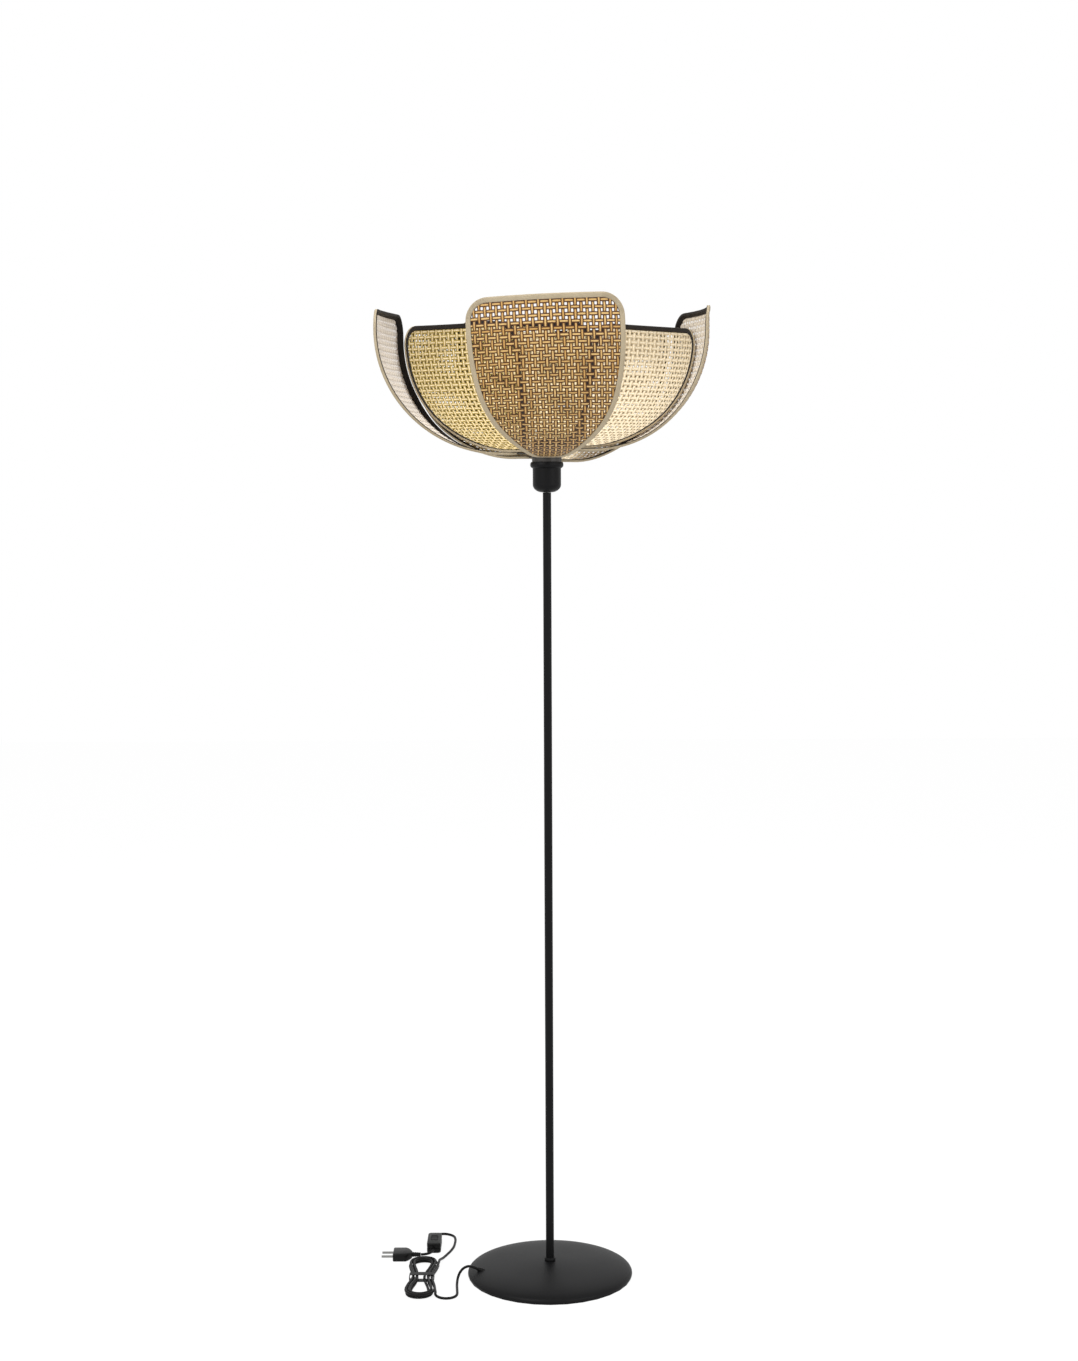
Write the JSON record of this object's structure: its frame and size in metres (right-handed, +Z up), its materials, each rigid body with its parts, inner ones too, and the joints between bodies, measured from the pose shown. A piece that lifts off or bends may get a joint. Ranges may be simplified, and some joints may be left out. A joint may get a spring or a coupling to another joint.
{
  "type": "floor lamp",
  "caption": "Floor lamp with a domed disc base, a slim pole and a bowl shade of woven cane petals that turn about the lampholder; corded, with inline switch and plug.",
  "frame": {"origin": "on the floor at the pole's axis, the middle of the base's underside", "axes": "+Z up along the pole; the front petal faces -Y; +X to the right seen from the front"},
  "size_m": [0.5498, 0.5513, 1.6029],
  "materials": {
    "black_powder": "fine textured black powder coat",
    "cast_iron": "rough cast, unpainted",
    "pad_rubber": "matt rubber foam",
    "zinc_steel": "zinc plated",
    "black_plastic": "satin moulded plastic",
    "ceramic": "glazed ceramic",
    "brass": "stamped brass",
    "cord_black": "smooth flexible sheath",
    "plug_metal": "nickel plated pins",
    "frame_steel": "welded wire, painted",
    "cane": "open plain weave of split cane",
    "beige_tape": "woven beige edging tape",
    "black_tape": "woven black edging tape"
  },
  "bodies": {
    "stand": {"base_shell": "black_powder", "base_weight": "cast_iron", "base_pad": "pad_rubber", "pole": "black_powder", "pole_collar": "black_powder", "foot_stud": "zinc_steel", "foot_nut": "zinc_steel", "cup": "black_powder", "nipple": "zinc_steel", "cup_nut": "zinc_steel", "lampholder_body": "black_plastic", "lampholder_insert": "ceramic", "lampholder_contact": "brass", "ring_nut": "black_plastic", "cord_gland": "cord_black", "cord_hank": "cord_black", "hank_tie": "cord_black", "cord_lead": "cord_black", "cord_tail": "cord_black", "cord_plug_end": "cord_black", "switch_lower": "black_plastic", "switch_upper": "black_plastic", "plug_body": "black_plastic", "plug_pin_left": "plug_metal", "plug_pin_right": "plug_metal"},
    "petal_front": {"petal_front_frame": "frame_steel", "petal_front_cane": "cane", "petal_front_outer_tape": "beige_tape", "petal_front_inner_tape": "black_tape"},
    "petal_left": {"petal_left_frame": "frame_steel", "petal_left_cane": "cane", "petal_left_outer_tape": "beige_tape", "petal_left_inner_tape": "black_tape"},
    "petal_right": {"petal_right_frame": "frame_steel", "petal_right_cane": "cane", "petal_right_outer_tape": "beige_tape", "petal_right_inner_tape": "black_tape"},
    "petal_back": {"petal_back_frame": "frame_steel", "petal_back_cane": "cane", "petal_back_outer_tape": "beige_tape", "petal_back_inner_tape": "black_tape"},
    "petal_left_rear_inner": {"petal_left_rear_inner_frame": "frame_steel", "petal_left_rear_inner_cane": "cane", "petal_left_rear_inner_outer_tape": "beige_tape", "petal_left_rear_inner_inner_tape": "black_tape"},
    "petal_right_rear_inner": {"petal_right_rear_inner_frame": "frame_steel", "petal_right_rear_inner_cane": "cane", "petal_right_rear_inner_outer_tape": "beige_tape", "petal_right_rear_inner_inner_tape": "black_tape"},
    "petal_left_rear_outer": {"petal_left_rear_outer_frame": "frame_steel", "petal_left_rear_outer_cane": "cane", "petal_left_rear_outer_outer_tape": "beige_tape", "petal_left_rear_outer_inner_tape": "black_tape"},
    "petal_right_rear_outer": {"petal_right_rear_outer_frame": "frame_steel", "petal_right_rear_outer_cane": "cane", "petal_right_rear_outer_outer_tape": "beige_tape", "petal_right_rear_outer_inner_tape": "black_tape"},
    "rocker": {"switch_rocker": "black_plastic"}
  },
  "joints": [
    {"name": "front_turn", "type": "hinge", "parent": "stand", "child": "petal_front", "pos_m": [0, 0, 1.36], "axis": [0, 0, 1], "range_deg": [-12, 12]},
    {"name": "left_turn", "type": "hinge", "parent": "stand", "child": "petal_left", "pos_m": [0, 0, 1.36], "axis": [0, 0, 1], "range_deg": [0, 10]},
    {"name": "right_turn", "type": "hinge", "parent": "stand", "child": "petal_right", "pos_m": [0, 0, 1.36], "axis": [0, 0, 1], "range_deg": [-8, 6]},
    {"name": "back_turn", "type": "hinge", "parent": "stand", "child": "petal_back", "pos_m": [0, 0, 1.36], "axis": [0, 0, 1], "range_deg": [-10, 10]},
    {"name": "left_rear_inner_turn", "type": "hinge", "parent": "stand", "child": "petal_left_rear_inner", "pos_m": [0, 0, 1.36], "axis": [0, 0, 1], "range_deg": [-8, 8]},
    {"name": "right_rear_inner_turn", "type": "hinge", "parent": "stand", "child": "petal_right_rear_inner", "pos_m": [0, 0, 1.36], "axis": [0, 0, 1], "range_deg": [-8, 8]},
    {"name": "left_rear_outer_turn", "type": "hinge", "parent": "stand", "child": "petal_left_rear_outer", "pos_m": [0, 0, 1.36], "axis": [0, 0, 1], "range_deg": [-10, 0]},
    {"name": "right_rear_outer_turn", "type": "hinge", "parent": "stand", "child": "petal_right_rear_outer", "pos_m": [0, 0, 1.36], "axis": [0, 0, 1], "range_deg": [-6, 10]},
    {"name": "rocker_tip", "type": "hinge", "parent": "stand", "child": "rocker", "pos_m": [-0.2, 0.126, 0.01525], "axis": [1, 0, 0], "range_deg": [-14, 0]}
  ]
}
